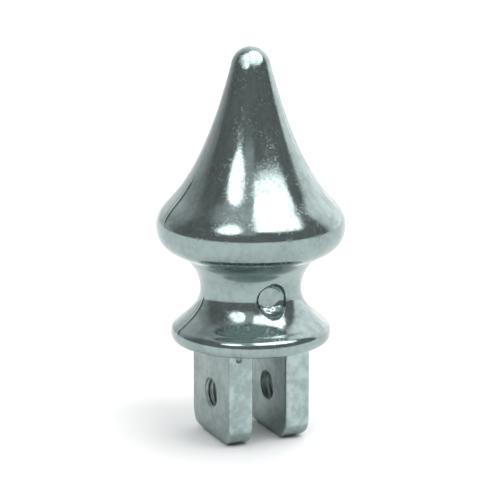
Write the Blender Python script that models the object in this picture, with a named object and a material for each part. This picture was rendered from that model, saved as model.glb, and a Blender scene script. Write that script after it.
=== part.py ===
"""Street sign finial bracket: one aluminium casting, a turned spire over a two-eared fork.

Frame: metres, +Z up. The origin is midway between the ears, level with their bottoms.
The slot runs along Y, the screw holes run along X, and the neck recess faces -Y.
"""
import math

import bmesh
import bpy

MM = 0.001

# Overall height, close to four inches.
HEIGHT = 102.5 * MM

# Fork: a square block parted by the slot. Its ears round off into their bottoms on all sides.
BLOCK_WIDTH = 22.9 * MM
BLOCK_LENGTH = 23.8 * MM
SLOT_WIDTH = 9.3 * MM
SLOT_DEPTH = 25.9 * MM
EAR_CORNER_RADIUS = 6.0 * MM
EAR_UPRIGHT_RADIUS = 0.7 * MM
EAR_SOFT_EDGE = 2.4 * MM
EAR_SLOT_EDGE = 1.2 * MM
EAR_SINK = 1.4 * MM

# Screw holes, one through each ear on a shared axis.
HOLE_DIAMETER = 7.9 * MM
HOLE_HEIGHT = 12.3 * MM

# Flange, with heights counted up from its flat underside.
FLANGE_RADIUS = 20.85 * MM
FLANGE_WIDEST_RISE = 1.9 * MM
FLANGE_EDGE_INSET = 1.05 * MM
FLANGE_BROW_INSET = 2.05 * MM
FLANGE_BROW_RISE = 5.15 * MM
FLANGE_BROW_LEAN = 46.0

# Neck, narrowest this far above the flange's underside.
NECK_RADIUS = 13.2 * MM
NECK_RISE = 13.7 * MM

# Skirt: the underside turns out of the neck, then the rim, then the shoulder under the cone.
SOFFIT_FLARE = 2.35 * MM
SOFFIT_RISE = 6.65 * MM
SOFFIT_LEAN = -30.5
SKIRT_RADIUS = 24.55 * MM
SKIRT_RISE = 16.8 * MM
SHOULDER_INSET = 4.5 * MM
SHOULDER_RISE = 7.6 * MM
SHOULDER_LEAN = 41.4

# Cone and its round tip.
TIP_RADIUS = 5.1 * MM
TIP_LEAN = 14.5

# Lean of the lip's last turn, in to the flat underside.
LIP_LEAN = -75.0

# Fullness of each stretch of the outline: how far it keeps to its lean at its top and foot.
CONE_PULLS = (0.30, 0.30)
SHOULDER_PULLS = (0.36, 0.35)
SOFFIT_PULLS = (0.54, 0.28)
THROAT_PULLS = (0.16, 0.44)
FLARE_PULLS = (0.46, 0.10)
BROW_PULLS = (0.42, 0.58)
LIP_PULLS = (0.30, 0.30)

# Round recess in the neck, facing -Y: a flat floor that rounds up into its wall.
RECESS_DIAMETER = 8.4 * MM
RECESS_FLOOR_ROUND = 2.2 * MM
RECESS_DEPTH = 2.3 * MM
RECESS_DROP = 0.6 * MM

# Smoothness of the turned form and of the round cuts.
TURN_STEPS = 64
TIP_STEPS = 6
BORE_SIDES = 40
CORNER_STEPS = 7
FLOOR_ROUND_STEPS = 5
UPRIGHT_STEPS = 3

# How far a cutter runs past the face it leaves by.
CUT_MARGIN = 3.0 * MM

# Levels and places that follow from the sizes above.
UNDERSIDE_Z = SLOT_DEPTH
FLANGE_Z = UNDERSIDE_Z + FLANGE_WIDEST_RISE
FLANGE_BROW_Z = UNDERSIDE_Z + FLANGE_BROW_RISE
NECK_Z = UNDERSIDE_Z + NECK_RISE
SOFFIT_Z = NECK_Z + SOFFIT_RISE
SKIRT_Z = NECK_Z + SKIRT_RISE
SHOULDER_Z = SKIRT_Z + SHOULDER_RISE
EAR_THICKNESS = (BLOCK_WIDTH - SLOT_WIDTH) / 2
EAR_OFFSET = (BLOCK_WIDTH - EAR_THICKNESS) / 2
EAR_SOFT_RADIUS = min(EAR_SOFT_EDGE, 0.40 * EAR_THICKNESS)
EAR_SLOT_RADIUS = min(EAR_SLOT_EDGE, 0.25 * EAR_THICKNESS)


def clear_scene():
    for old in list(bpy.data.objects):
        bpy.data.objects.remove(old, do_unlink=True)


def cast_aluminium():
    material = bpy.data.materials.new("cast_aluminium")
    material.use_nodes = True
    shader = material.node_tree.nodes["Principled BSDF"]
    shader.inputs["Base Color"].default_value = (0.55, 0.60, 0.60, 1.0)
    shader.inputs["Metallic"].default_value = 1.0
    shader.inputs["Roughness"].default_value = 0.25
    return material


def heading(lean):
    """Unit step (outward, up) of a line running down, leaning out by so many degrees."""
    angle = math.radians(lean)
    return math.sin(angle), -math.cos(angle)


def sweep(start, start_lean, end, end_lean, pulls, steps):
    """Points of a smooth curve down the outline, after its start and up to its end.

    Its pulls are shares of the straight distance, one for each end.
    """
    span = math.dist(start, end)
    out_a, up_a = heading(start_lean)
    out_b, up_b = heading(end_lean)
    reach_a, reach_b = span * pulls[0], span * pulls[1]
    near = (start[0] + out_a * reach_a, start[1] + up_a * reach_a)
    far = (end[0] - out_b * reach_b, end[1] - up_b * reach_b)
    points = []
    for step in range(1, steps + 1):
        t = step / steps
        s = 1.0 - t
        weights = (s ** 3, 3 * s * s * t, 3 * s * t * t, t ** 3)
        points.append(tuple(
            sum(w * p[axis] for w, p in zip(weights, (start, near, far, end))) for axis in (0, 1)))
    return points


def turned_outline():
    """The spire's outline as (radius, height), from the tip down to the underside's centre."""
    tip_centre = HEIGHT - TIP_RADIUS
    points = [(0.0, HEIGHT)]
    for step in range(1, TIP_STEPS + 1):
        angle = math.radians(90.0 + (TIP_LEAN - 90.0) * step / TIP_STEPS)
        points.append((TIP_RADIUS * math.cos(angle), tip_centre + TIP_RADIUS * math.sin(angle)))
    shoulder = (SKIRT_RADIUS - SHOULDER_INSET, SHOULDER_Z)
    rim = (SKIRT_RADIUS, SKIRT_Z)
    soffit = (NECK_RADIUS + SOFFIT_FLARE, SOFFIT_Z)
    neck = (NECK_RADIUS, NECK_Z)
    brow = (FLANGE_RADIUS - FLANGE_BROW_INSET, FLANGE_BROW_Z)
    flange = (FLANGE_RADIUS, FLANGE_Z)
    edge = (FLANGE_RADIUS - FLANGE_EDGE_INSET, UNDERSIDE_Z)
    points += sweep(points[-1], TIP_LEAN, shoulder, SHOULDER_LEAN, CONE_PULLS, 12)
    points += sweep(shoulder, SHOULDER_LEAN, rim, 0.0, SHOULDER_PULLS, 7)
    points += sweep(rim, 0.0, soffit, SOFFIT_LEAN, SOFFIT_PULLS, 9)
    points += sweep(soffit, SOFFIT_LEAN, neck, 0.0, THROAT_PULLS, 6)
    points += sweep(neck, 0.0, brow, FLANGE_BROW_LEAN, FLARE_PULLS, 7)
    points += sweep(brow, FLANGE_BROW_LEAN, flange, 0.0, BROW_PULLS, 4)
    points += sweep(flange, 0.0, edge, LIP_LEAN, LIP_PULLS, 4)
    points.append((0.0, UNDERSIDE_Z))
    return points


def add_object(name, mesh):
    obj = bpy.data.objects.new(name, mesh)
    bpy.context.scene.collection.objects.link(obj)
    return obj


def make_spire(name):
    """Turn the outline about Z into the tip, cone, skirt, neck and flange."""
    outline = turned_outline()
    mesh = bpy.data.meshes.new(name)
    edges = [(i, i + 1) for i in range(len(outline) - 1)]
    mesh.from_pydata([(radius, 0.0, height) for radius, height in outline], edges, [])
    spire = add_object(name, mesh)
    turn = spire.modifiers.new("turn", "SCREW")
    turn.axis = "Z"
    turn.angle = math.tau
    turn.steps = TURN_STEPS
    turn.render_steps = TURN_STEPS
    turn.use_merge_vertices = True
    turn.merge_threshold = 0.00001
    turn.use_smooth_shade = True
    return spire


def ear_section(width, inset_y):
    """One level of an ear, as (x, y) about its own middle: a rectangle with round corners."""
    half_x = width / 2
    half_y = BLOCK_LENGTH / 2 - inset_y
    radius = min(EAR_UPRIGHT_RADIUS, 0.6 * half_x)
    ring = []
    for quarter, (sign_x, sign_y) in enumerate(((1, 1), (-1, 1), (-1, -1), (1, -1))):
        for step in range(UPRIGHT_STEPS + 1):
            angle = math.radians(90.0 * (quarter + step / UPRIGHT_STEPS))
            ring.append((sign_x * (half_x - radius) + radius * math.cos(angle),
                         sign_y * (half_y - radius) + radius * math.sin(angle)))
    return ring


def round_inset(height, radius):
    """How far a rounded lower edge stands back at a height above the bottom."""
    if height >= radius:
        return 0.0
    return radius - math.sqrt(radius ** 2 - (radius - height) ** 2)


def make_ear(name, side):
    """Stack level sections into an ear with round lower corners, on the -X or +X side."""
    levels = []
    for step in range(CORNER_STEPS + 1):
        angle = math.radians(90.0 * step / CORNER_STEPS)
        levels.append(EAR_CORNER_RADIUS * (1.0 - math.cos(angle)))
    levels.append(UNDERSIDE_Z + EAR_SINK)
    work = bmesh.new()
    rings = []
    for z in levels:
        outer, inner = round_inset(z, EAR_SOFT_RADIUS), round_inset(z, EAR_SLOT_RADIUS)
        section = ear_section(EAR_THICKNESS - outer - inner, round_inset(z, EAR_CORNER_RADIUS))
        middle = side * (EAR_OFFSET + (inner - outer) / 2)
        rings.append([work.verts.new((middle + x, y, z)) for x, y in section])
    work.faces.new(reversed(rings[0]))
    work.faces.new(rings[-1])
    count = len(rings[0])
    for lower, upper in zip(rings, rings[1:]):
        for i in range(count):
            j = (i + 1) % count
            work.faces.new((lower[i], lower[j], upper[j], upper[i]))
    mesh = bpy.data.meshes.new(name)
    work.to_mesh(mesh)
    work.free()
    return add_object(name, mesh)


def make_rod(name, diameter, length, centre, turn_y):
    """A round cutter of a length, centred on a point and turned off the Z axis, about Y."""
    work = bmesh.new()
    bmesh.ops.create_cone(work, cap_ends=True, segments=BORE_SIDES,
                          radius1=diameter / 2, radius2=diameter / 2, depth=length)
    mesh = bpy.data.meshes.new(name)
    work.to_mesh(mesh)
    work.free()
    rod = add_object(name, mesh)
    rod.location = centre
    rod.rotation_euler = (0.0, math.radians(turn_y), 0.0)
    return rod


def make_recess_cutter(name):
    """The solid that leaves the recess: a rod along -Y, with a round edge to its flat end."""
    radius = RECESS_DIAMETER / 2
    edge_radius = min(RECESS_FLOOR_ROUND, 0.55 * radius)
    floor_y = RECESS_DEPTH - NECK_RADIUS
    profile = []
    for step in range(FLOOR_ROUND_STEPS + 1):
        angle = math.radians(90.0 * step / FLOOR_ROUND_STEPS)
        profile.append((radius - edge_radius * (1.0 - math.sin(angle)),
                        floor_y - edge_radius * (1.0 - math.cos(angle))))
    profile.append((radius, -SKIRT_RADIUS - CUT_MARGIN))
    work = bmesh.new()
    axis_z = NECK_Z - RECESS_DROP
    turns = [math.tau * step / BORE_SIDES for step in range(BORE_SIDES)]
    rings = []
    for ring_radius, y in profile:
        rings.append([work.verts.new((ring_radius * math.cos(turn), y, axis_z + ring_radius * math.sin(turn)))
                      for turn in turns])
    work.faces.new(rings[0])
    for inner, outer in zip(rings, rings[1:]):
        for i in range(BORE_SIDES):
            j = (i + 1) % BORE_SIDES
            work.faces.new((inner[i], outer[i], outer[j], inner[j]))
    work.faces.new(reversed(rings[-1]))
    bmesh.ops.recalc_face_normals(work, faces=work.faces)
    mesh = bpy.data.meshes.new(name)
    work.to_mesh(mesh)
    work.free()
    return add_object(name, mesh)


def combine(target, tool, operation):
    """Add a Boolean for a tool that is a guide only, and not part of the model itself."""
    tool.hide_render = True
    tool.display_type = "WIRE"
    cut = target.modifiers.new(tool.name, "BOOLEAN")
    cut.object = tool
    cut.operation = operation
    cut.solver = "EXACT"


def make_bracket():
    bracket = make_spire("finial_bracket")
    for name, side in (("near_ear_form", -1), ("far_ear_form", 1)):
        combine(bracket, make_ear(name, side), "UNION")
    hole_length = BLOCK_WIDTH + 2 * CUT_MARGIN
    holes = make_rod("screw_hole_form", HOLE_DIAMETER, hole_length, (0.0, 0.0, HOLE_HEIGHT), 90.0)
    combine(bracket, holes, "DIFFERENCE")
    combine(bracket, make_recess_cutter("neck_recess_form"), "DIFFERENCE")
    bracket.data.materials.append(cast_aluminium())
    return bracket


clear_scene()
make_bracket()
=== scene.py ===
import math

import bmesh
import bpy
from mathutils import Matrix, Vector, noise


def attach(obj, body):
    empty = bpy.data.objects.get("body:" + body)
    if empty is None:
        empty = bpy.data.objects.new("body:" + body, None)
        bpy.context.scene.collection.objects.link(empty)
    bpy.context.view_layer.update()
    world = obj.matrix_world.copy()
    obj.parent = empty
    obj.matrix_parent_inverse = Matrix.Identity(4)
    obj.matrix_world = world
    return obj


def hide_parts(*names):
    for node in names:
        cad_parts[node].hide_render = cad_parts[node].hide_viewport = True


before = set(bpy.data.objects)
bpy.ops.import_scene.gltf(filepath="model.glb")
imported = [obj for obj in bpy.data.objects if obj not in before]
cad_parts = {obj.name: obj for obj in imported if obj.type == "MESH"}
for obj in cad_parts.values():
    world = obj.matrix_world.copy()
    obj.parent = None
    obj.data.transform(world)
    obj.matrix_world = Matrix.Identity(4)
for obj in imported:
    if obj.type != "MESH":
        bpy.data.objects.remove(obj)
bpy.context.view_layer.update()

MM = 0.001

# The casting's sizes, the same values as in the part's own source.
HEIGHT = 102.5 * MM
BLOCK_WIDTH = 22.9 * MM
BLOCK_LENGTH = 23.8 * MM
SLOT_WIDTH = 9.3 * MM
SLOT_DEPTH = 25.9 * MM
EAR_CORNER_RADIUS = 6.0 * MM
EAR_UPRIGHT_RADIUS = 0.7 * MM
EAR_SOFT_EDGE = 2.4 * MM
EAR_SLOT_EDGE = 1.2 * MM
EAR_SINK = 1.4 * MM
HOLE_DIAMETER = 7.9 * MM
HOLE_HEIGHT = 12.3 * MM
FLANGE_RADIUS = 20.85 * MM
FLANGE_WIDEST_RISE = 1.9 * MM
FLANGE_EDGE_INSET = 1.05 * MM
FLANGE_BROW_INSET = 2.05 * MM
FLANGE_BROW_RISE = 5.15 * MM
FLANGE_BROW_LEAN = 46.0
NECK_RADIUS = 13.2 * MM
NECK_RISE = 13.7 * MM
SOFFIT_FLARE = 2.35 * MM
SOFFIT_RISE = 6.65 * MM
SOFFIT_LEAN = -30.5
SKIRT_RADIUS = 24.55 * MM
SKIRT_RISE = 16.8 * MM
SHOULDER_INSET = 4.5 * MM
SHOULDER_RISE = 7.6 * MM
SHOULDER_LEAN = 41.4
TIP_RADIUS = 5.1 * MM
TIP_LEAN = 14.5
LIP_LEAN = -75.0
CONE_PULLS = (0.30, 0.30)
SHOULDER_PULLS = (0.36, 0.35)
SOFFIT_PULLS = (0.54, 0.28)
THROAT_PULLS = (0.16, 0.44)
FLARE_PULLS = (0.46, 0.10)
BROW_PULLS = (0.42, 0.58)
LIP_PULLS = (0.30, 0.30)
RECESS_DIAMETER = 8.4 * MM
RECESS_FLOOR_ROUND = 2.2 * MM
RECESS_DEPTH = 2.3 * MM
RECESS_DROP = 0.6 * MM
UNDERSIDE_Z = SLOT_DEPTH
FLANGE_Z = UNDERSIDE_Z + FLANGE_WIDEST_RISE
FLANGE_BROW_Z = UNDERSIDE_Z + FLANGE_BROW_RISE
NECK_Z = UNDERSIDE_Z + NECK_RISE
SOFFIT_Z = NECK_Z + SOFFIT_RISE
SKIRT_Z = NECK_Z + SKIRT_RISE
SHOULDER_Z = SKIRT_Z + SHOULDER_RISE
EAR_THICKNESS = (BLOCK_WIDTH - SLOT_WIDTH) / 2
EAR_OFFSET = (BLOCK_WIDTH - EAR_THICKNESS) / 2
EAR_SOFT_RADIUS = min(EAR_SOFT_EDGE, 0.40 * EAR_THICKNESS)
EAR_SLOT_RADIUS = min(EAR_SLOT_EDGE, 0.25 * EAR_THICKNESS)

# Fineness of the turned form, stretch by stretch down the outline.
TURN_STEPS = 252
TIP_STEPS = 18
CONE_STEPS = 46
SHOULDER_STEPS = 26
SOFFIT_STEPS = 30
THROAT_STEPS = 16
FLARE_STEPS = 24
BROW_STEPS = 12
LIP_STEPS = 10

# Parting line of the mould: a low ridge down both sides, where it wasn't buffed away.
SEAM_HEIGHT = 0.20 * MM
SEAM_HALF_WIDTH = 0.34 * MM
SEAM_COLUMNS = (0.3, 0.6, 0.95, 1.3)
SEAM_FLANGE_SPAN = (FLANGE_Z + 0.4 * MM, NECK_Z - 1.2 * MM)
SEAM_SHOULDER_SPAN = (SKIRT_Z + 1.5 * MM, SKIRT_Z + 13.5 * MM)
SEAM_FADE = 1.6 * MM

# Unevenness of the casting, all of it inward: wide swells and smaller ripples.
SWELL_SIZE = 7.0 * MM
SWELL_DEPTH = 0.030 * MM
RIPPLE_SIZE = 2.2 * MM
RIPPLE_DEPTH = 0.006 * MM

# Places where the tip was dressed nearly flat, as (azimuth from the camera's, elevation, depth).
TIP_FLATS = ((12.0, 30.5, 0.55 * MM), (-18.0, 27.0, 0.50 * MM))
FLAT_SHARE = 0.75
TIP_REACH = 1.3 * TIP_RADIUS

# Ears: cells along the faces, steps of the round edges, and the fillet under the flange.
EAR_CELLS_ACROSS = 8
EAR_CELLS_ALONG = 30
EAR_CELL_LEVELS = 24
EAR_UPRIGHT_STEPS = 6
EAR_UPRIGHT_SHARE = 0.3
EAR_CORNER_STEPS = 14
ROOT_FILLET = 0.7 * MM
ROOT_FILLET_STEPS = 5
ROOT_FILLET_END = 72.0
DIMPLE_RADIUS = 0.95 * MM
DIMPLE_FINENESS = 3
DIMPLE_PLACE = (-8.7 * MM, -BLOCK_LENGTH / 2 - 0.3 * MM, UNDERSIDE_Z - 2.0 * MM)

# Tapped screw holes: a 5/16 inch thread, 18 to the inch.
THREAD_PITCH = 25.4 / 18 * MM
THREAD_DEPTH = 0.48 * MM
THREAD_LEVELS = 10
THREAD_FLANK = (0.12, 0.88)
BORE_SIDES = 80
MOUTH_CHAMFER = 0.12 * MM
CUT_MARGIN = 3.0 * MM

# Neck recess: a flat floor, its round edge up to a steep lean, the wall and a rounded mouth.
RECESS_MOUTH_ROUND = 0.30 * MM
RECESS_WALL_LEAN = 80.0
RECESS_FLOOR_LEVELS = 6
RECESS_EDGE_LEVELS = 26
RECESS_WALL_LEVELS = 20
RECESS_TURNS = 120
RECESS_ROUGH_SIZE = 0.62 * MM
RECESS_ROUGH_DEPTH = 0.36 * MM
RECESS_ROUGH_SPAN = (0.50, 0.72)
RECESS_WALL_MARGIN = 0.12 * MM
RECESS_LIFT = 0.3 * MM
MOUTH_END_SHARE = 0.9
MOUTH_HALVINGS = 24

# Edges sharper than this, in degrees, aren't shaded smooth.
SHARP_ANGLE = 38.0

# The camera, at the photograph's angle, on a picture 500 pixels each way.
PICTURE = 500
PIXEL = 0.2587 * MM
CAMERA_AZIMUTH = -24.7
CAMERA_ELEVATION = 13.6
CAMERA_DISTANCE = 569.1 * MM
SENSOR = 36.0
AXIS_PIXEL = (250.7, 245.0)
AXIS_POINT_Z = 50.7 * MM
CLIP_START = 10.0 * MM


def smooth_step(value, low, high):
    """From 0 at low to 1 at high, with soft ends."""
    share = min(max((value - low) / (high - low), 0.0), 1.0)
    return share * share * (3.0 - 2.0 * share)


def heading(lean):
    """Unit step (outward, up) of a line running down, leaning out by so many degrees."""
    angle = math.radians(lean)
    return math.sin(angle), -math.cos(angle)


def sweep(start, start_lean, end, end_lean, pulls, steps):
    """Points of a smooth curve down the outline, after its start and up to its end."""
    span = math.dist(start, end)
    out_a, up_a = heading(start_lean)
    out_b, up_b = heading(end_lean)
    reach_a, reach_b = span * pulls[0], span * pulls[1]
    near = (start[0] + out_a * reach_a, start[1] + up_a * reach_a)
    far = (end[0] - out_b * reach_b, end[1] - up_b * reach_b)
    points = []
    for step in range(1, steps + 1):
        t = step / steps
        s = 1.0 - t
        weights = (s ** 3, 3 * s * s * t, 3 * s * t * t, t ** 3)
        points.append(tuple(
            sum(w * p[axis] for w, p in zip(weights, (start, near, far, end))) for axis in (0, 1)))
    return points


def turned_outline():
    """The spire's outline as (radius, height), from just off the tip down to the underside's edge."""
    tip_centre = HEIGHT - TIP_RADIUS
    points = []
    for step in range(1, TIP_STEPS + 1):
        angle = math.radians(90.0 + (TIP_LEAN - 90.0) * step / TIP_STEPS)
        points.append((TIP_RADIUS * math.cos(angle), tip_centre + TIP_RADIUS * math.sin(angle)))
    shoulder = (SKIRT_RADIUS - SHOULDER_INSET, SHOULDER_Z)
    rim = (SKIRT_RADIUS, SKIRT_Z)
    soffit = (NECK_RADIUS + SOFFIT_FLARE, SOFFIT_Z)
    neck = (NECK_RADIUS, NECK_Z)
    brow = (FLANGE_RADIUS - FLANGE_BROW_INSET, FLANGE_BROW_Z)
    flange = (FLANGE_RADIUS, FLANGE_Z)
    edge = (FLANGE_RADIUS - FLANGE_EDGE_INSET, UNDERSIDE_Z)
    points += sweep(points[-1], TIP_LEAN, shoulder, SHOULDER_LEAN, CONE_PULLS, CONE_STEPS)
    points += sweep(shoulder, SHOULDER_LEAN, rim, 0.0, SHOULDER_PULLS, SHOULDER_STEPS)
    points += sweep(rim, 0.0, soffit, SOFFIT_LEAN, SOFFIT_PULLS, SOFFIT_STEPS)
    points += sweep(soffit, SOFFIT_LEAN, neck, 0.0, THROAT_PULLS, THROAT_STEPS)
    points += sweep(neck, 0.0, brow, FLANGE_BROW_LEAN, FLARE_PULLS, FLARE_STEPS)
    points += sweep(brow, FLANGE_BROW_LEAN, flange, 0.0, BROW_PULLS, BROW_STEPS)
    points += sweep(flange, 0.0, edge, LIP_LEAN, LIP_PULLS, LIP_STEPS)
    return points


def neck_radius_at(outline, height):
    """Radius of the neck and its flares at a height."""
    for (upper_radius, upper), (lower_radius, lower) in zip(outline, outline[1:]):
        if upper <= SOFFIT_Z and lower <= height <= upper and upper > lower:
            return lower_radius + (upper_radius - lower_radius) * (height - lower) / (upper - lower)
    return outline[-1][0]


def unevenness(point):
    """How far the surface lies in from its true form at a point, never outward."""
    swell = 0.5 + 0.5 * noise.noise(point / SWELL_SIZE)
    ripple = 0.5 + 0.5 * noise.noise(point / RIPPLE_SIZE)
    from_tip = point - Vector((0.0, 0.0, HEIGHT - TIP_RADIUS))
    flats = [from_tip.dot(facing(azimuth, lean)) - TIP_RADIUS + depth for azimuth, lean, depth in TIP_FLATS]
    dressed = FLAT_SHARE * max(0.0, *flats) if from_tip.length < TIP_REACH else 0.0
    return dressed + SWELL_DEPTH * min(max(swell, 0.0), 1.0) + RIPPLE_DEPTH * min(max(ripple, 0.0), 1.0)


def seam_rise(radius, height, angle):
    """Height of the parting line's ridge at a place on the turned form."""
    aside = min(abs(math.remainder(angle, math.tau)), abs(math.remainder(angle - math.pi, math.tau)))
    across = math.exp(-(radius * aside / SEAM_HALF_WIDTH) ** 2)
    along = 0.0
    for low, high in (SEAM_FLANGE_SPAN, SEAM_SHOULDER_SPAN):
        past_low = smooth_step(height, low, low + SEAM_FADE)
        past_high = smooth_step(height, high - SEAM_FADE, high)
        along += past_low * (1.0 - past_high)
    return SEAM_HEIGHT * across * along


def turn_angles():
    """Angles of the turned form's columns, closer together beside the parting line."""
    angles = [math.tau * step / TURN_STEPS for step in range(TURN_STEPS)]
    for side in (0.0, math.pi):
        for spread in SEAM_COLUMNS:
            angles += [side - math.radians(spread), side + math.radians(spread)]
    return sorted(angle % math.tau for angle in angles)


def outline_normals(outline):
    """Unit normals (outward, up) of the outline's points."""
    normals = []
    for index in range(len(outline)):
        before = outline[max(index - 1, 0)]
        after = outline[min(index + 1, len(outline) - 1)]
        run, fall = after[0] - before[0], before[1] - after[1]
        length = math.hypot(run, fall)
        normals.append((fall / length, run / length))
    return normals


def add_object(name, data):
    """A new object in the scene, around a mesh, a light or a camera."""
    obj = bpy.data.objects.new(name, data)
    bpy.context.scene.collection.objects.link(obj)
    return obj


def mesh_of_rings(name, rings):
    """A closed mesh from stacked rings of points, each running the same way round."""
    work = bmesh.new()
    rows = [[work.verts.new(point) for point in ring] for ring in rings]
    for upper, lower in zip(rows, rows[1:]):
        if len(upper) == 1:
            for i in range(len(lower)):
                work.faces.new((upper[0], lower[i], lower[(i + 1) % len(lower)]))
            continue
        for i in range(len(upper)):
            j = (i + 1) % len(upper)
            work.faces.new((upper[i], lower[i], lower[j], upper[j]))
    if len(rows[0]) > 1:
        work.faces.new(rows[0])
    work.faces.new(reversed(rows[-1]))
    bmesh.ops.recalc_face_normals(work, faces=work.faces)
    mesh = bpy.data.meshes.new(name)
    work.to_mesh(mesh)
    work.free()
    return mesh


def make_spire(name, outline):
    """The turned form with its unevenness and parting line, closed by the flat underside."""
    rings = [[Vector((0.0, 0.0, HEIGHT))]]
    angles = turn_angles()
    for (radius, height), (out, up) in zip(outline, outline_normals(outline)):
        ring = []
        for angle in angles:
            cosine, sine = math.cos(angle), math.sin(angle)
            point = Vector((radius * cosine, radius * sine, height))
            shift = seam_rise(radius, height, angle) - unevenness(point)
            ring.append(point + shift * Vector((out * cosine, out * sine, up)))
        rings.append(ring)
    for point in rings[-1]:
        point.z = UNDERSIDE_Z
    return add_object(name, mesh_of_rings(name, rings))


def round_inset(height, radius):
    """How far a rounded lower edge stands back at a height above the bottom."""
    if height >= radius:
        return 0.0
    return radius - math.sqrt(radius ** 2 - (radius - height) ** 2)


def ear_section(width, inset_y):
    """One level of an ear: (x, y, outward x, outward y) round a rectangle with round corners."""
    radius = min(EAR_UPRIGHT_RADIUS, EAR_UPRIGHT_SHARE * width)
    flat_x = width / 2 - radius
    flat_y = BLOCK_LENGTH / 2 - inset_y - radius
    corners = ((1, 1), (-1, 1), (-1, -1), (1, -1))
    ring = []
    for quarter, (sign_x, sign_y) in enumerate(corners):
        for step in range(EAR_UPRIGHT_STEPS + 1):
            angle = math.radians(90.0 * (quarter + step / EAR_UPRIGHT_STEPS))
            out_x, out_y = math.cos(angle), math.sin(angle)
            ring.append((sign_x * flat_x + radius * out_x, sign_y * flat_y + radius * out_y, out_x, out_y))
        next_x, next_y = corners[(quarter + 1) % 4]
        x, y, out_x, out_y = ring[-1]
        cells = EAR_CELLS_ACROSS if quarter % 2 == 0 else EAR_CELLS_ALONG
        far_x = x + (next_x - sign_x) * flat_x
        far_y = y + (next_y - sign_y) * flat_y
        for cell in range(1, cells):
            share = cell / cells
            ring.append((x + (far_x - x) * share, y + (far_y - y) * share, out_x, out_y))
    return ring


def ear_levels():
    """Heights of an ear's sections, with their insets at the outer face, at the slot and at both ends."""
    levels = []
    for step in range(EAR_CORNER_STEPS + 1):
        z = EAR_CORNER_RADIUS * (1.0 - math.cos(math.radians(90.0 * step / EAR_CORNER_STEPS)))
        levels.append((z, round_inset(z, EAR_SOFT_RADIUS), round_inset(z, EAR_SLOT_RADIUS),
                       round_inset(z, EAR_CORNER_RADIUS)))
    straight_top = UNDERSIDE_Z - ROOT_FILLET
    for step in range(1, EAR_CELL_LEVELS + 1):
        z = EAR_CORNER_RADIUS + (straight_top - EAR_CORNER_RADIUS) * step / EAR_CELL_LEVELS
        levels.append((z, 0.0, 0.0, 0.0))
    flare = 0.0
    for step in range(1, ROOT_FILLET_STEPS + 1):
        angle = math.radians(ROOT_FILLET_END * step / ROOT_FILLET_STEPS)
        flare = -ROOT_FILLET * (1.0 - math.cos(angle))
        levels.append((straight_top + ROOT_FILLET * math.sin(angle), flare, flare, flare))
    levels.append((UNDERSIDE_Z + EAR_SINK, flare, flare, flare))
    return levels


def make_ear(name, side):
    """An ear with round lower corners, soft edges and a fillet under the flange."""
    rings = []
    for z, outer, inner, inset_y in ear_levels():
        middle = side * (EAR_OFFSET + (inner - outer) / 2)
        ring = []
        for x, y, out_x, out_y in ear_section(EAR_THICKNESS - outer - inner, inset_y):
            point = Vector((middle + x, y, z))
            ring.append(point - unevenness(point) * Vector((out_x, out_y, 0.0)))
        rings.append(ring)
    return add_object(name, mesh_of_rings(name, rings))


def thread_radius(along, turn):
    """Radius of a tapped hole at a distance along its axis and an angle round it."""
    phase = (along / THREAD_PITCH - turn / math.tau) % 1.0
    share = smooth_step(abs(2.0 * phase - 1.0), *THREAD_FLANK)
    return HOLE_DIAMETER / 2 - THREAD_DEPTH * (1.0 - share)


def make_hole_cutter(name, side):
    """The shape cut out of an ear by its tapped hole, running past both faces."""
    near = side * EAR_OFFSET - EAR_THICKNESS / 2
    far = near + EAR_THICKNESS
    count = round(EAR_THICKNESS / THREAD_PITCH * THREAD_LEVELS)
    places = [near + EAR_THICKNESS * step / count for step in range(count + 1)]
    places = [near - CUT_MARGIN] + places + [far + CUT_MARGIN]
    rings = []
    for place in places:
        inside = max(min(place - near, far - place), 0.0)
        mouth = HOLE_DIAMETER / 2 + MOUTH_CHAMFER - inside
        ring = []
        for step in range(BORE_SIDES):
            turn = math.tau * step / BORE_SIDES
            radius = max(mouth, thread_radius(place, turn))
            ring.append(Vector((place, radius * math.cos(turn), HOLE_HEIGHT + radius * math.sin(turn))))
        rings.append(ring)
    return add_object(name, mesh_of_rings(name, rings))


def recess_spot(outline, radius, turn):
    """A place round the recess's axis, as (x, z, the neck's own surface y there)."""
    x = radius * math.cos(turn)
    z = NECK_Z - RECESS_DROP + radius * math.sin(turn)
    return x, z, -math.sqrt(neck_radius_at(outline, z) ** 2 - x * x)


def recess_depth(outline, radius, turn):
    """How far the recess's true form lies under the neck's own surface."""
    lean = math.radians(RECESS_WALL_LEAN)
    past_floor = radius - RECESS_DIAMETER / 2 + RECESS_FLOOR_ROUND
    on_edge = min(max(past_floor, 0.0), RECESS_FLOOR_ROUND * math.sin(lean))
    rise = RECESS_FLOOR_ROUND - math.sqrt(RECESS_FLOOR_ROUND ** 2 - on_edge ** 2)
    rise += max(past_floor - on_edge, 0.0) * math.tan(lean)
    return RECESS_DEPTH - NECK_RADIUS - rise - recess_spot(outline, radius, turn)[2]


def mouth_reach(outline, turn):
    """Distance from the recess's axis at which its rounded mouth ends."""
    low, high = 0.0, RECESS_DIAMETER
    for _ in range(MOUTH_HALVINGS):
        middle = (low + high) / 2
        if recess_depth(outline, middle, turn) > -MOUTH_END_SHARE * RECESS_MOUTH_ROUND:
            low = middle
        else:
            high = middle
    return low


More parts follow.
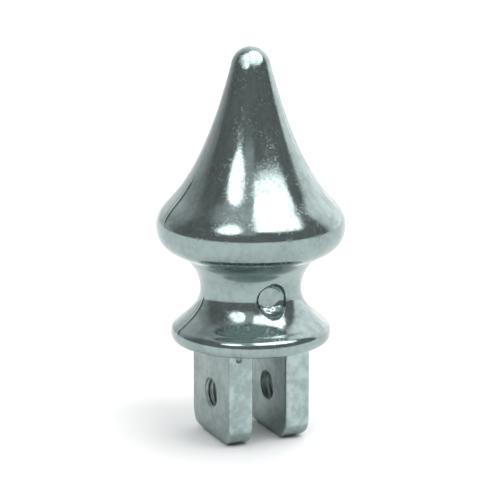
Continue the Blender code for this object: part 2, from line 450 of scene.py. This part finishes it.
def make_recess_cutter(name, outline):
    """The shape cut out of the neck: floor, round edge, wall and rounded mouth, rough in its lower half."""
    turns = [math.tau * step / RECESS_TURNS for step in range(RECESS_TURNS)]
    reaches = [mouth_reach(outline, turn) for turn in turns]
    floor_radius = RECESS_DIAMETER / 2 - RECESS_FLOOR_ROUND
    inner_radii = [floor_radius * step / RECESS_FLOOR_LEVELS for step in range(1, RECESS_FLOOR_LEVELS + 1)]
    for step in range(1, RECESS_EDGE_LEVELS + 1):
        lean = math.radians(RECESS_WALL_LEAN * step / RECESS_EDGE_LEVELS)
        inner_radii.append(floor_radius + RECESS_FLOOR_ROUND * math.sin(lean))
    wall_foot = inner_radii[-1]
    rings = [[Vector((0.0, RECESS_DEPTH - NECK_RADIUS, NECK_Z - RECESS_DROP))]]
    for level in range(1, len(inner_radii) + RECESS_WALL_LEVELS + 1):
        ring = []
        for turn, reach in zip(turns, reaches):
            shrink = min(1.0, reach / (wall_foot + RECESS_WALL_MARGIN))
            if level <= len(inner_radii):
                radius = inner_radii[level - 1] * shrink
            else:
                share = (level - len(inner_radii)) / RECESS_WALL_LEVELS
                start = wall_foot * shrink
                radius = start + (reach - start) * share
            x, z, surface = recess_spot(outline, radius, turn)
            depth = recess_depth(outline, radius, turn)
            spot = Vector((x, surface + depth, z)) / RECESS_ROUGH_SIZE
            low_half = smooth_step(-math.sin(turn) * radius / wall_foot, *RECESS_ROUGH_SPAN)
            depth -= RECESS_ROUGH_DEPTH * low_half * (0.5 + 0.5 * noise.noise(spot))
            if depth < RECESS_MOUTH_ROUND:
                depth = (depth + RECESS_MOUTH_ROUND) ** 2 / (4.0 * RECESS_MOUTH_ROUND)
            ring.append(Vector((x, surface + depth, z)))
        rings.append(ring)
    rims = [recess_spot(outline, reach + RECESS_LIFT, turn) for turn, reach in zip(turns, reaches)]
    rings.append([Vector((x, surface - RECESS_LIFT, z)) for x, z, surface in rims])
    rings.append([Vector((x, -SKIRT_RADIUS - CUT_MARGIN, z)) for x, z, surface in rims])
    return add_object(name, mesh_of_rings(name, rings))


def make_dimple_cutter(name):
    """A small ball that leaves a pit in the near ear's end, under the flange."""
    work = bmesh.new()
    bmesh.ops.create_icosphere(work, subdivisions=DIMPLE_FINENESS, radius=DIMPLE_RADIUS)
    mesh = bpy.data.meshes.new(name)
    work.to_mesh(mesh)
    work.free()
    ball = add_object(name, mesh)
    ball.location = DIMPLE_PLACE
    return ball


def combine(target, tools, operation):
    """Join other forms to the target or cut them out of it, and leave only the result."""
    for tool in tools:
        change = target.modifiers.new(tool.name, "BOOLEAN")
        change.object = tool
        change.operation = operation
        change.solver = "EXACT"
    bpy.context.view_layer.update()
    result = bpy.data.meshes.new_from_object(target.evaluated_get(bpy.context.evaluated_depsgraph_get()))
    target.modifiers.clear()
    target.data = result
    for tool in tools:
        bpy.data.objects.remove(tool, do_unlink=True)


def make_casting():
    """The whole bracket as one fine mesh, in place of the faceted solid."""
    outline = turned_outline()
    casting = make_spire("finial_casting", outline)
    combine(casting, [make_ear("near_ear_form", -1), make_ear("far_ear_form", 1)], "UNION")
    cutters = [make_hole_cutter("near_hole_form", -1), make_hole_cutter("far_hole_form", 1),
               make_recess_cutter("neck_recess_form", outline), make_dimple_cutter("dimple_form")]
    combine(casting, cutters, "DIFFERENCE")
    casting.data.shade_smooth()
    casting.data.set_sharp_from_angle(angle=math.radians(SHARP_ANGLE))
    casting.data.materials.clear()
    casting.data.materials.append(cast_aluminium())
    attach(casting, "root")
    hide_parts("finial_bracket")


class Graph:
    """Short ways to add shader nodes and join them."""

    def __init__(self, tree):
        self.tree = tree
        self.tree.nodes.clear()

    def add(self, kind, settings=None, inputs=None):
        node = self.tree.nodes.new(kind)
        for key, value in (settings or {}).items():
            setattr(node, key, value)
        for key, value in (inputs or {}).items():
            if isinstance(value, bpy.types.NodeSocket):
                self.tree.links.new(value, node.inputs[key])
            else:
                node.inputs[key].default_value = value
        return node

    def math(self, operation, first, second=0.0, third=0.0):
        node = self.add("ShaderNodeMath", {"operation": operation}, {0: first, 1: second, 2: third})
        return node.outputs[0]

    def dot(self, first, second):
        node = self.add("ShaderNodeVectorMath", {"operation": "DOT_PRODUCT"}, {0: first, 1: second})
        return node.outputs["Value"]

    def square_sum(self, first, second):
        return self.math("ADD", self.math("POWER", first, 2.0), self.math("POWER", second, 2.0))

    def distance(self, first, second):
        return self.math("SQRT", self.square_sum(first, second))

    def remap(self, value, low, high, new_low=0.0, new_high=1.0, kind="SMOOTHSTEP"):
        node = self.add("ShaderNodeMapRange", {"interpolation_type": kind}, {
            "Value": value, "From Min": low, "From Max": high, "To Min": new_low, "To Max": new_high})
        return node.outputs["Result"]

    def span(self, value, low, high, softness):
        """1 between two values and 0 outside them, with soft ends."""
        rise = self.remap(value, low - softness, low + softness)
        return self.math("MULTIPLY", rise, self.remap(value, high + softness, high - softness))

    def noise(self, vector, scale, detail, roughness):
        node = self.add("ShaderNodeTexNoise", {}, {
            "Vector": vector, "Scale": scale, "Detail": detail, "Roughness": roughness})
        return node.outputs["Fac"]

    def mottle(self, first, second, weights, edges):
        """Two noises added by weight, then spread from 0 to 1 between two edges."""
        shares = [self.math("MULTIPLY", value, weight) for value, weight in zip((first, second), weights)]
        return self.remap(self.math("ADD", *shares), *edges)

    def mix(self, kind, factor, first, second):
        node = self.add("ShaderNodeMix", {"data_type": kind}, {"Factor": factor, "A": first, "B": second})
        return node.outputs["Result"]

    def blend(self, factor, first, second):
        return self.mix("RGBA", factor, first, second)

    def mix_value(self, factor, first, second):
        return self.mix("FLOAT", factor, first, second)


# Noises of the metal, as (scale, detail, roughness).
PATCH_NOISE = (160.0, 4.0, 0.6)
FLECK_NOISE = (620.0, 2.0, 0.5)
GRAIN_NOISE = (1500.0, 3.0, 0.6)
PIT_NOISE = (1250.0, 2.0, 0.6)
PATCH_EDGES = (0.3, 0.7)

# Buffed metal: tints, the shares of patches and flecks in its mottling, and its pits.
BRIGHT_TINT = (0.310, 0.385, 0.380, 1.0)
DULL_TINT = (0.250, 0.311, 0.308, 1.0)
BUFFED_SHARES = (0.6, 0.4)
BUFFED_EDGES = (0.36, 0.66)
BUFFED_ROUGHNESS = (0.09, 0.16)
PIT_ROUGHNESS = 0.33
PIT_EDGES = (0.49, 0.66)
PIT_PATCH_EDGES = (0.40, 0.60)
PIT_SHARES = (0.2, 0.95)

# Satin metal of the ears, with painted shade darkening their broad faces.
SATIN_TINT = (0.46, 0.57, 0.56, 1.0)
SATIN_SHADE = (0.35, 0.44, 0.435, 1.0)
SATIN_SHARES = (0.4, 0.6)
SATIN_EDGES = (0.38, 0.62)
SATIN_ROUGHNESS = (0.38, 0.50)
SATIN_TOP = UNDERSIDE_Z - 0.4 * MM
SATIN_FADE = 0.8 * MM
# Painted shade on the ears' broad faces: its share, where the end faces begin, and its darker tint.
BROAD_FACE_SHADE_SHARE = 0.55
BROAD_FACE_END = BLOCK_LENGTH / 2 - 0.35 * MM
BROAD_FACE_FADE = 0.2 * MM
BROAD_FACE_SHADE_TINT = (0.20, 0.235, 0.232, 1.0)
# Painted shade in the tapped holes: a darker tint and the width of its edge.
BORE_SHADE_TINT = (0.30, 0.355, 0.35, 1.0)
BORE_SHADE_FADE = 0.10 * MM

# Throat under the skirt, as heights and distances from the part's axis.
THROAT_TINT = (0.31, 0.375, 0.37, 1.0)
THROAT_SPAN = (NECK_Z + 4.6 * MM, SOFFIT_Z + 5.4 * MM)
THROAT_FADE = 0.3 * MM
THROAT_RADII = (NECK_RADIUS + 6.4 * MM, NECK_RADIUS + 5.2 * MM)
THROAT_ROUGHNESS = (0.10, 0.30)
THROAT_ROUGH_SPAN = (SOFFIT_Z - 0.6 * MM, SOFFIT_Z + 0.6 * MM)

# Dark line along the parting line, and a painted highlight on the lower part of the neck recess, which is
# also rougher.
SEAM_TINT = (0.09, 0.105, 0.10, 1.0)
SEAM_LINE = 0.16 * MM
CRESCENT_HIGHLIGHT_TINT = (0.64, 0.76, 0.75, 1.0)
CRESCENT_ROUGHNESS = 0.27
CRESCENT_REACH = 4.45 * MM
CRESCENT_REACH_FADE = 0.1 * MM
CRESCENT_DROP = 1.9 * MM
CRESCENT_DROP_FADE = 0.4 * MM
RECESS_SIDE_FADE = 1.0 * MM

# Fine relief of the casting, left out of the throat.
BUMP_STRENGTH = 0.35
GRAIN_DEPTH = 0.030 * MM
FLECK_DEPTH = 0.045 * MM


def buffed_finish(graph, place, patches, flecks):
    """Tint and roughness of the buffed metal, with its fine pits."""
    pits = graph.math("MULTIPLY", graph.remap(graph.noise(place, *PIT_NOISE), *PIT_EDGES),
                      graph.remap(patches, *PIT_PATCH_EDGES, *PIT_SHARES))
    even = graph.remap(patches, *PATCH_EDGES, *BUFFED_ROUGHNESS)
    mottled = graph.mottle(patches, flecks, BUFFED_SHARES, BUFFED_EDGES)
    return graph.blend(mottled, BRIGHT_TINT, DULL_TINT), graph.mix_value(pits, even, PIT_ROUGHNESS)


def satin_finish(graph, y, patches, flecks):
    """Tint and roughness of the satin metal, with painted shade on the ears' broad faces."""
    mottled = graph.mottle(patches, flecks, SATIN_SHARES, SATIN_EDGES)
    tint = graph.blend(mottled, SATIN_TINT, SATIN_SHADE)
    # Painted shade: every face but the ends is blended towards a darker tint.
    broad_face_shade = graph.remap(graph.math("ABSOLUTE", y), BROAD_FACE_END + BROAD_FACE_FADE,
                             BROAD_FACE_END - BROAD_FACE_FADE, 0.0, BROAD_FACE_SHADE_SHARE)
    roughness = graph.remap(patches, *PATCH_EDGES, *SATIN_ROUGHNESS)
    return graph.blend(broad_face_shade, tint, BROAD_FACE_SHADE_TINT), roughness


def bore_shade_mask(graph, y, z):
    """1 in the tapped holes and 0 outside them, where painted shade darkens the metal."""
    from_axis = graph.distance(graph.math("SUBTRACT", z, HOLE_HEIGHT), y)
    radius = HOLE_DIAMETER / 2
    return graph.remap(from_axis, radius + BORE_SHADE_FADE, radius - BORE_SHADE_FADE)


def throat_mask(graph, x, y, z):
    """1 in the throat under the skirt."""
    near_axis = graph.remap(graph.distance(x, y), *THROAT_RADII)
    return graph.math("MULTIPLY", graph.span(z, *THROAT_SPAN, THROAT_FADE), near_axis)


def seam_mask(graph, y, z):
    """1 along the parting line, where it wasn't buffed away."""
    low, high = [graph.span(z, *span, SEAM_FADE / 2) for span in (SEAM_FLANGE_SPAN, SEAM_SHOULDER_SPAN)]
    on_line = graph.span(y, -SEAM_LINE, SEAM_LINE, SEAM_LINE / 2)
    return graph.math("MULTIPLY", graph.math("MAXIMUM", low, high), on_line)


def crescent_highlight_mask(graph, x, y, z):
    """1 in the lower part of the neck recess, where a painted highlight lightens the metal."""
    above_axis = graph.math("SUBTRACT", z, NECK_Z - RECESS_DROP)
    from_axis = graph.distance(above_axis, x)
    inside = graph.remap(from_axis, CRESCENT_REACH, CRESCENT_REACH - CRESCENT_REACH_FADE)
    in_front = graph.remap(y, 0.0, -RECESS_SIDE_FADE)
    low = graph.remap(above_axis, -CRESCENT_DROP, -CRESCENT_DROP - CRESCENT_DROP_FADE)
    return graph.math("MULTIPLY", graph.math("MULTIPLY", inside, in_front), low)


def cast_aluminium():
    """Buffed above the flange's underside, satin and mottled below it, with painted shade in the tapped
    holes.
    """
    material = bpy.data.materials.new("cast_aluminium_finish")
    material.use_nodes = True
    graph = Graph(material.node_tree)
    place = graph.add("ShaderNodeTexCoord").outputs["Object"]
    x, y, z = graph.add("ShaderNodeSeparateXYZ", {}, {"Vector": place}).outputs
    patches = graph.noise(place, *PATCH_NOISE)
    flecks = graph.noise(place, *FLECK_NOISE)
    grain = graph.noise(place, *GRAIN_NOISE)
    buffed_tint, buffed_rough = buffed_finish(graph, place, patches, flecks)
    satin_tint, satin_rough = satin_finish(graph, y, patches, flecks)
    satin = graph.remap(z, SATIN_TOP + SATIN_FADE, SATIN_TOP - SATIN_FADE)
    throat = throat_mask(graph, x, y, z)
    recess_highlight = crescent_highlight_mask(graph, x, y, z)
    tint = graph.blend(satin, buffed_tint, satin_tint)
    # Painted shade in the tapped holes.
    tint = graph.blend(bore_shade_mask(graph, y, z), tint, BORE_SHADE_TINT)
    tint = graph.blend(throat, tint, THROAT_TINT)
    tint = graph.blend(seam_mask(graph, y, z), tint, SEAM_TINT)
    # Painted highlight on the lower part of the neck recess.
    tint = graph.blend(recess_highlight, tint, CRESCENT_HIGHLIGHT_TINT)
    throat_rough = graph.remap(z, *THROAT_ROUGH_SPAN, *THROAT_ROUGHNESS)
    roughness = graph.mix_value(satin, buffed_rough, satin_rough)
    roughness = graph.mix_value(throat, roughness, throat_rough)
    roughness = graph.mix_value(recess_highlight, roughness, CRESCENT_ROUGHNESS)
    bump = graph.mix_value(throat, BUMP_STRENGTH, 0.0)
    coarse = graph.add("ShaderNodeBump", {}, {"Strength": bump, "Distance": FLECK_DEPTH, "Height": flecks})
    fine = graph.add("ShaderNodeBump", {}, {
        "Strength": bump, "Distance": GRAIN_DEPTH, "Height": grain, "Normal": coarse.outputs["Normal"]})
    shader = graph.add("ShaderNodeBsdfPrincipled", {}, {
        "Base Color": tint, "Metallic": 1.0, "Roughness": roughness, "Normal": fine.outputs["Normal"]})
    graph.add("ShaderNodeOutputMaterial", {}, {"Surface": shader.outputs["BSDF"]})
    return material


# Floor and backdrop.
FLOOR_RADIUS = 4.0
FLOOR_SIDES = 96
FLOOR_ROUGHNESS = 0.9
FLOOR_SPECULAR = 0.1
FLOOR_COLOUR = (0.86, 0.87, 0.87, 1.0)
BACKDROP_COLOUR = (0.98, 0.98, 0.98, 1.0)


def facing(azimuth, elevation):
    """Unit direction from the part at an azimuth from the camera's own, rightward, and an elevation."""
    turn = math.radians(CAMERA_AZIMUTH + azimuth)
    rise = math.radians(elevation)
    return Vector((math.sin(turn) * math.cos(rise), -math.cos(turn) * math.cos(rise), math.sin(rise)))


def make_floor():
    """A wide pale floor, level with the ears' bottoms."""
    work = bmesh.new()
    bmesh.ops.create_circle(work, cap_ends=True, segments=FLOOR_SIDES, radius=FLOOR_RADIUS)
    mesh = bpy.data.meshes.new("studio_floor")
    work.to_mesh(mesh)
    work.free()
    floor = add_object("studio_floor", mesh)
    material = bpy.data.materials.new("pale_floor")
    material.use_nodes = True
    shader = material.node_tree.nodes["Principled BSDF"]
    shader.inputs["Base Color"].default_value = FLOOR_COLOUR
    shader.inputs["Roughness"].default_value = FLOOR_ROUGHNESS
    shader.inputs["Specular IOR Level"].default_value = FLOOR_SPECULAR
    floor.data.materials.append(material)


def make_camera():
    """The camera at the photograph's angle and framing."""
    direction = facing(0.0, CAMERA_ELEVATION)
    turn = direction.to_track_quat("Z", "Y")
    right, up = turn @ Vector((1.0, 0.0, 0.0)), turn @ Vector((0.0, 1.0, 0.0))
    aside = PICTURE / 2 - AXIS_PIXEL[0]
    above = AXIS_PIXEL[1] - PICTURE / 2
    aim = Vector((0.0, 0.0, AXIS_POINT_Z)) + PIXEL * (aside * right + above * up)
    data = bpy.data.cameras.new("photo_camera")
    data.sensor_width = SENSOR
    data.lens = SENSOR * CAMERA_DISTANCE / (PICTURE * PIXEL)
    data.clip_start = CLIP_START
    camera = add_object("photo_camera", data)
    camera.location = aim + direction * CAMERA_DISTANCE
    camera.rotation_euler = turn.to_euler()
    bpy.context.scene.camera = camera


# Overhead light for the floor. The metal doesn't mirror it.
FILL_HEIGHT = 2.5
FILL_SIZE = 2.5
FILL_RADIANCE = 0.6


def make_fill():
    """A wide lamp overhead that neither the camera nor the metal sees."""
    data = bpy.data.lights.new("floor_fill", "AREA")
    data.shape = "SQUARE"
    data.size = FILL_SIZE
    data.energy = FILL_RADIANCE * math.pi * FILL_SIZE ** 2
    light = add_object("floor_fill", data)
    light.location = (0.0, 0.0, FILL_HEIGHT)
    light.visible_camera = False
    light.visible_glossy = False


# Room that the metal mirrors. Azimuths are in degrees from the camera's own, rightward.
# Brightness round the horizon goes by (azimuth, brightness).
HORIZON_STOPS = ((-180, 1.35), (-162, 1.10), (-145, 0.92), (-130, 0.70), (-112, 0.50), (-98, 0.24),
                 (-20, 0.29), (105, 0.26), (112, 1.45), (140, 1.6), (180, 1.5))
OVERHEAD_BRIGHTNESS = 0.80
OVERHEAD_SPAN = (50.0, 68.0)
SIDE_WALL_START = 108.0
SIDE_WALL_FADE = 6.0
CLUTTER_NOISE = (9.0, 4.0, 0.6)
CLUTTER_EDGES = (0.3, 0.7)
CLUTTER_RANGE = (0.80, 1.22)

# Two windows, and the paler wall between them: middles, half sizes, edges and brightness.
WINDOW_BRIGHTNESS = 4.0
LEFT_WINDOW_MIDDLE = (-33.0, 48.0)
LEFT_WINDOW_HALF = (18.5, 14.5)
LEFT_WINDOW_EDGE = (1.12, 0.88)
RIGHT_WINDOW_SIDES = (8.5, 95.0)
RIGHT_WINDOW_TOP = 85.0
RIGHT_WINDOW_TOP_FADE = 3.0
SILL_START = (10.0, 47.5)
SILL_FALL = -0.18
SILL_TURN = (71.5, 35.5)
SILL_RISE = 0.72
SILL_RAGGED = 3.0
SILL_NOISE = (45.0, 3.0, 0.5)
SILL_NOISE_EDGES = (0.35, 0.65)
PILLAR_SIDES = (-16.0, 8.0)
PILLAR_HEIGHTS = (34.0, 72.0)
PILLAR_FADE = 4.0
PILLAR_BRIGHTNESS = 0.66
EDGE_SOFTNESS = 1.2


def left_window_mask(graph, azimuth, elevation):
    """1 in the rounded left window."""
    across, upward = [
        graph.math("DIVIDE", graph.math("SUBTRACT", angle, middle), half)
        for angle, middle, half in zip((azimuth, elevation), LEFT_WINDOW_MIDDLE, LEFT_WINDOW_HALF)]
    return graph.remap(graph.square_sum(across, upward), *LEFT_WINDOW_EDGE)


def right_window_mask(graph, azimuth, elevation, direction):
    """1 in the right window, over a ragged sill that falls and then climbs."""
    from_start = graph.math("SUBTRACT", azimuth, SILL_START[0])
    from_turn = graph.math("SUBTRACT", azimuth, SILL_TURN[0])
    front_sill = graph.math("MULTIPLY_ADD", from_start, SILL_FALL, SILL_START[1])
    side_sill = graph.math("MULTIPLY_ADD", from_turn, SILL_RISE, SILL_TURN[1])
    ragged = graph.remap(graph.noise(direction, *SILL_NOISE), *SILL_NOISE_EDGES, -SILL_RAGGED, SILL_RAGGED)
    sill = graph.math("ADD", graph.math("MAXIMUM", front_sill, side_sill), ragged)
    over_sill = graph.remap(graph.math("SUBTRACT", elevation, sill), -EDGE_SOFTNESS, EDGE_SOFTNESS)
    under_top = graph.remap(elevation, RIGHT_WINDOW_TOP + RIGHT_WINDOW_TOP_FADE,
                            RIGHT_WINDOW_TOP - RIGHT_WINDOW_TOP_FADE)
    between_sides = graph.span(azimuth, *RIGHT_WINDOW_SIDES, EDGE_SOFTNESS)
    return graph.math("MULTIPLY", between_sides, graph.math("MULTIPLY", over_sill, under_top))


def pillar_mask(graph, azimuth, elevation):
    """1 on the paler wall between the windows."""
    return graph.math("MULTIPLY", graph.span(azimuth, *PILLAR_SIDES, PILLAR_FADE),
                      graph.span(elevation, *PILLAR_HEIGHTS, PILLAR_FADE))


def horizon_brightness(graph, azimuth):
    """Brightness of the walls round the horizon."""
    ramp = graph.add("ShaderNodeValToRGB", {}, {"Fac": graph.remap(azimuth, -180.0, 180.0, kind="LINEAR")})
    elements = ramp.color_ramp.elements
    while len(elements) < len(HORIZON_STOPS):
        elements.new(0.5)
    for element, (place, value) in zip(elements, HORIZON_STOPS):
        element.position = (place + 180.0) / 360.0
        element.color = (value, value, value, 1.0)
    return ramp.outputs["Color"]


def make_room():
    """The room by direction, for the metal to mirror, and a plain pale backdrop for the camera."""
    world = bpy.data.worlds.new("studio_room")
    world.use_nodes = True
    graph = Graph(world.node_tree)
    direction = graph.add("ShaderNodeTexCoord").outputs["Generated"]
    ahead, aside = [graph.dot(direction, axis) for axis in (facing(0.0, 0.0), facing(90.0, 0.0))]
    level = graph.add("ShaderNodeSeparateXYZ", {}, {"Vector": direction}).outputs["Z"]
    azimuth = graph.math("DEGREES", graph.math("ARCTAN2", aside, ahead))
    elevation = graph.math("DEGREES", graph.math("ARCSINE", level))
    before_side = graph.remap(azimuth, SIDE_WALL_START + SIDE_WALL_FADE, SIDE_WALL_START - SIDE_WALL_FADE)
    overhead = graph.math("MULTIPLY", graph.remap(elevation, *OVERHEAD_SPAN), before_side)
    walls = graph.mix_value(overhead, horizon_brightness(graph, azimuth), OVERHEAD_BRIGHTNESS)
    clutter = graph.remap(graph.noise(direction, *CLUTTER_NOISE), *CLUTTER_EDGES, *CLUTTER_RANGE)
    room = graph.mix_value(pillar_mask(graph, azimuth, elevation), graph.math("MULTIPLY", walls, clutter),
                           PILLAR_BRIGHTNESS)
    window = graph.math("MAXIMUM", left_window_mask(graph, azimuth, elevation),
                        right_window_mask(graph, azimuth, elevation, direction))
    brightness = graph.mix_value(window, room, WINDOW_BRIGHTNESS)
    seen = graph.add("ShaderNodeLightPath").outputs["Is Camera Ray"]
    channels = {name: brightness for name in ("Red", "Green", "Blue")}
    grey = graph.add("ShaderNodeCombineColor", {}, channels)
    colour = graph.blend(seen, grey.outputs["Color"], BACKDROP_COLOUR)
    background = graph.add("ShaderNodeBackground", {}, {"Color": colour, "Strength": 1.0})
    graph.add("ShaderNodeOutputWorld", {}, {"Surface": background.outputs["Background"]})
    bpy.context.scene.world = world


make_camera()
make_casting()
make_floor()
make_fill()
make_room()
bpy.context.scene.view_settings.view_transform = "Standard"
